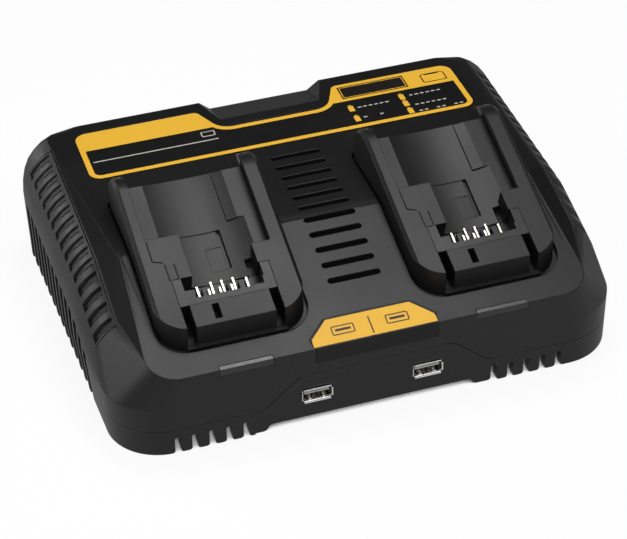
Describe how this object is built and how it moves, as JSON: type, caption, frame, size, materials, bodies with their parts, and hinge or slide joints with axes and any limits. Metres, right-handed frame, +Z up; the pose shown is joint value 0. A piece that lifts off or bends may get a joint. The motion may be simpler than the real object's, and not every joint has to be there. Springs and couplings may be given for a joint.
{
  "type": "power tool battery charger",
  "caption": "Twin-bay bench charger for slide-on power tool battery packs, with USB outlets in the front.",
  "frame": {"origin": "middle of the footprint, on the surface the feet stand on", "axes": "+X to the user's right along the front, +Z up, the front with the outlets faces -Y"},
  "size_m": [0.2348, 0.1747, 0.0795],
  "materials": {
    "housing_black": "fine textured",
    "cradle_black": "satin",
    "terminal_black": "satin",
    "contact_metal": "bright",
    "usb_steel": "satin",
    "usb_white": "satin",
    "contact_gold": "bright",
    "label_print": "satin film",
    "smoked_lens": "smoked",
    "board_green": "solder mask",
    "ferrite": "sintered",
    "winding_tape": "taped",
    "copper_wire": "enamelled",
    "can_sleeve": "shrink sleeve",
    "film_case": "moulded",
    "fuse_glass": "clear",
    "heat_sink_metal": "extruded",
    "chip_black": "moulded",
    "screw_steel": "zinc plated",
    "foot_rubber": "matte",
    "gland_rubber": "matte"
  },
  "bodies": {
    "root": {"upper_housing": "housing_black", "lower_housing": "housing_black", "left_battery_cradle": "cradle_black", "right_battery_cradle": "cradle_black", "left_terminal_block": "terminal_black", "right_terminal_block": "terminal_black", "left_terminal_blades": "contact_metal", "right_terminal_blades": "contact_metal", "left_terminal_board": "board_green", "right_terminal_board": "board_green", "rear_label": "label_print", "front_label": "label_print", "left_indicator_lens": "smoked_lens", "right_indicator_lens": "smoked_lens", "left_indicator_board": "board_green", "right_indicator_board": "board_green", "left_usb_shell": "usb_steel", "right_usb_shell": "usb_steel", "left_usb_tongue": "usb_white", "right_usb_tongue": "usb_white", "left_usb_contacts": "contact_gold", "right_usb_contacts": "contact_gold", "usb_circuit_board": "board_green", "main_circuit_board": "board_green", "transformer_core": "ferrite", "transformer_winding": "winding_tape", "bulk_capacitors": "can_sleeve", "output_capacitors": "can_sleeve", "line_choke_core": "ferrite", "line_choke_winding": "copper_wire", "line_filter_capacitor": "film_case", "line_fuse": "fuse_glass", "heat_sinks": "heat_sink_metal", "power_transistors": "chip_black", "housing_screws": "screw_steel", "board_screws": "screw_steel", "cradle_screws": "screw_steel", "rubber_feet": "foot_rubber", "cord_inlet_gland": "gland_rubber"}
  },
  "joints": []
}
